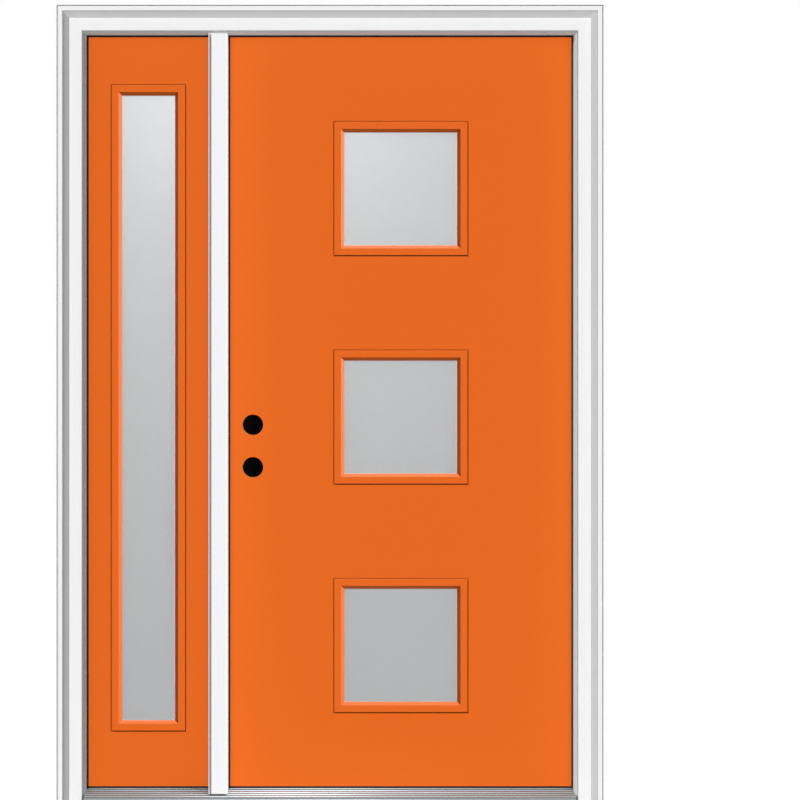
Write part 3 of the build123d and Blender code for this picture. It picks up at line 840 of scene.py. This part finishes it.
@dataclass
class Studio:
    """White room, pale floor, soft lamps and the camera at the photograph's place.

    Each piece is lit by the first key that names it, and by every fill that names it. The skins have about
    half of their light from a key that only the lite frames shade, which darkens the grooves to the right of
    them and below them. The rim lamps stand behind the faces' plane, where only the left and lower bevels
    see them.
    """

    ambient: float = 0.2
    floor_side: float = 40.0
    floor_drop_mm: float = 0.5
    floor_colour: str = "#E8E8E8"
    floor_glow: float = 0.78
    camera_distance: float = 7.42855
    camera_height: float = 1.0518
    lens_mm: float = 128.82
    centre_px: float = 330.0
    frame_px: float = 800.0
    keys: tuple[Key, ...] = (
        Key("glass_key", (-0.4, -1.0, 0.6), 0.71, 20.0, GLASS_PIECES, GLASS_PIECES),
        Key("lite_key", (0.75, -1.0, 0.75), 0.74, 12.0, LITE_FRAMES, FACE_PIECES),
        Key("skin_key", (-1.5, -1.0, 1.5), 0.40, 12.0, SKINS, LITE_FRAMES),
        Key("face_key", (-1.5, -1.0, 1.5), 0.74, 12.0, FACE_PIECES, FACE_PIECES),
        Key("left_mould_key", (-0.78, -1.0, 0.27), 0.70, 16.0, ("brickmould_left",)),
        Key("right_mould_key", (0.36, -1.0, 0.25), 0.70, 16.0, ("brickmould_right",)),
        Key("head_mould_key", (0.0, -1.0, 0.54), 0.70, 16.0, ("brickmould_head",)),
        Key("hinge_jamb_key", (-1.0, -1.0, 0.5), 0.34, 16.0, ("hinge_jamb",)),
        Key("jamb_key", (-1.0, -1.0, 0.5), 0.42, 16.0, ("sidelite_jamb", "head_jamb")),
        Key("mullion_key", (0.65, -1.0, 0.4), 0.73, 30.0, ("mullion",)),
        Key("sill_key", (0.0, -0.35, 1.0), 0.17, 20.0, SILL_PIECES),
        Key("floor_key", (0.0, -1.0, 1.6), 0.12, 20.0, ("floor",)),
        Key("front_key", (-0.2, -1.0, 0.4), 0.70, 30.0),
    )
    fills: tuple[Key | Softbox, ...] = (
        Key("back_key", (0.4, 1.0, 0.7), 0.52, 30.0, BACK_PIECES),
        Key("skin_fill", (-1.5, -1.0, 1.5), 0.34, 12.0, SKINS, FACE_PIECES),
        Key("left_rim", (0.96, 0.28, 0.0), 0.13, 24.0, OUTER_FRAMES, ("floor",)),
        Key("lower_rim", (0.0, 0.28, 0.96), 0.08, 20.0, OUTER_FRAMES, ("floor",)),
        Softbox("glass_box", (-0.25, -1.1, 2.15), (-0.15, 0.0, 1.7), 0.4, 13.0, GLASS_PIECES, GLASS_PIECES),
        Softbox("sill_box", (-0.04, -0.15, 0.75), (-0.04, 0.02, 0.03), 0.3, 10.0, SILL_PIECES),
        Softbox("head_box", (0.0, -1.5, 0.4), (0.0, 0.0, 2.0), 0.5, 5.5, ("head_jamb",)),
    )

    def build(self) -> None:
        """Make the world, the floor, the lamps and the camera."""
        bpy.context.scene.view_settings.view_transform = "Standard"
        self.room()
        self.floor()
        self.hang_lamps()
        self.camera()

    def hang_lamps(self) -> None:
        """Hang each key for the pieces that no earlier key lights, and each fill for all that it names."""
        pieces = [piece for piece in bpy.context.scene.objects if piece.type == "MESH"]
        waiting = list(pieces)
        for key in self.keys:
            lit = named(waiting, key.lights)
            key.hang(lit, named(pieces, key.shadows))
            waiting = [piece for piece in waiting if piece not in lit]
        for fill in self.fills:
            fill.hang(named(pieces, fill.lights), named(pieces, fill.shadows))

    def seen_directly(self, tree: bpy.types.NodeTree) -> bpy.types.NodeSocket:
        """Tell rays that show the background from rays that only light the object.

        Args:
            tree: Node tree that asks.

        Returns:
            A socket that is one for camera, glossy and transmission rays.
        """
        path = add_node(tree, "ShaderNodeLightPath")
        mirrored = add_node(tree, "ShaderNodeMath", {
            0: path.outputs["Is Glossy Ray"],
            1: path.outputs["Is Transmission Ray"],
        }, operation="MAXIMUM")
        either = add_node(tree, "ShaderNodeMath", {
            0: path.outputs["Is Camera Ray"],
            1: mirrored.outputs[0],
        }, operation="MAXIMUM")
        return either.outputs[0]

    def room(self) -> None:
        """Surround the object with white that lights it at the ambient level."""
        world = bpy.data.worlds.new("white_room")
        bpy.context.scene.world = world
        world.use_nodes = True
        tree = world.node_tree
        tree.nodes.clear()
        dim = add_node(tree, "ShaderNodeBackground", {"Color": linear("#FFFFFF"), "Strength": self.ambient})
        white = add_node(tree, "ShaderNodeBackground", {"Color": linear("#FFFFFF"), "Strength": 1.0})
        mixed = add_node(tree, "ShaderNodeMixShader", {
            0: self.seen_directly(tree),
            1: dim.outputs[0],
            2: white.outputs[0],
        })
        add_node(tree, "ShaderNodeOutputWorld", {"Surface": mixed.outputs[0]})

    def floor(self) -> None:
        """Lay a pale floor that keeps the object's shadow and glows to white round it."""
        half = self.floor_side / 2
        level = -self.floor_drop_mm * MM
        corners = [(-half, -half, level), (half, -half, level), (half, half, level), (-half, half, level)]
        mesh = bpy.data.meshes.new("floor")
        mesh.from_pydata(corners, [], [(0, 1, 2, 3)])
        floor = bpy.data.objects.new("floor", mesh)
        bpy.context.scene.collection.objects.link(floor)
        material = bpy.data.materials.new("pale_studio_floor")
        material.use_nodes = True
        # The glow lights nothing, so it isn't sampled as a lamp
        material.cycles.emission_sampling = "NONE"
        tree = material.node_tree
        tree.nodes.clear()
        matte = add_node(tree, "ShaderNodeBsdfDiffuse", {"Color": linear(self.floor_colour)})
        strength = add_node(tree, "ShaderNodeMath", {
            0: self.seen_directly(tree),
            1: self.floor_glow,
        }, operation="MULTIPLY")
        glow = add_node(tree, "ShaderNodeEmission", {"Strength": strength.outputs[0]})
        both = add_node(tree, "ShaderNodeAddShader", {0: matte.outputs[0], 1: glow.outputs[0]})
        add_node(tree, "ShaderNodeOutputMaterial", {"Surface": both.outputs[0]})
        mesh.materials.append(material)

    def camera(self) -> None:
        """Stand the camera straight in front, shifted so that the unit lies where the photograph has it."""
        data = bpy.data.cameras.new("camera")
        data.lens = self.lens_mm
        data.shift_x = (self.frame_px / 2 - self.centre_px) / self.frame_px
        camera = bpy.data.objects.new("camera", data)
        camera.location = (0.0, -self.camera_distance, self.camera_height)
        camera.rotation_euler = (math.pi / 2, 0.0, 0.0)
        bpy.context.scene.collection.objects.link(camera)
        bpy.context.scene.camera = camera


def main() -> None:
    """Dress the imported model, add its small pieces and set up the studio."""
    logging.basicConfig(level=logging.INFO, format="%(name)s: %(message)s")
    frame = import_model()
    nodes = frame["nodes"]
    places = ("top", "middle", "bottom")
    door_glazing = Glazing(
        nodes,
        exterior=tuple(f"lite_frame_exterior_{place}" for place in places),
        interior=tuple(f"lite_frame_interior_{place}" for place in places),
        glass=tuple(f"lite_glass_{place}" for place in places),
    )
    sidelite_glazing = Glazing(
        nodes,
        label="sidelite",
        body=Body.FRAME,
        exterior=("sidelite_lite_exterior",),
        interior=("sidelite_lite_interior",),
        glass=("sidelite_glass",),
        spacer="sidelite_spacer",
        plugs_across=1,
        plugs_up=8,
    )
    groups = (
        Trim(nodes),
        Sill(nodes),
        Seals(nodes),
        door_glazing,
        sidelite_glazing,
        Slab(nodes),
        Hinges(nodes),
    )
    for group in groups:
        group.build()
        group.dress()
        for piece in group.pieces:
            LOG.info("made %s with %d faces", piece.name, len(piece.data.polygons))
    Studio().build()


if __name__ == "__main__":
    main()
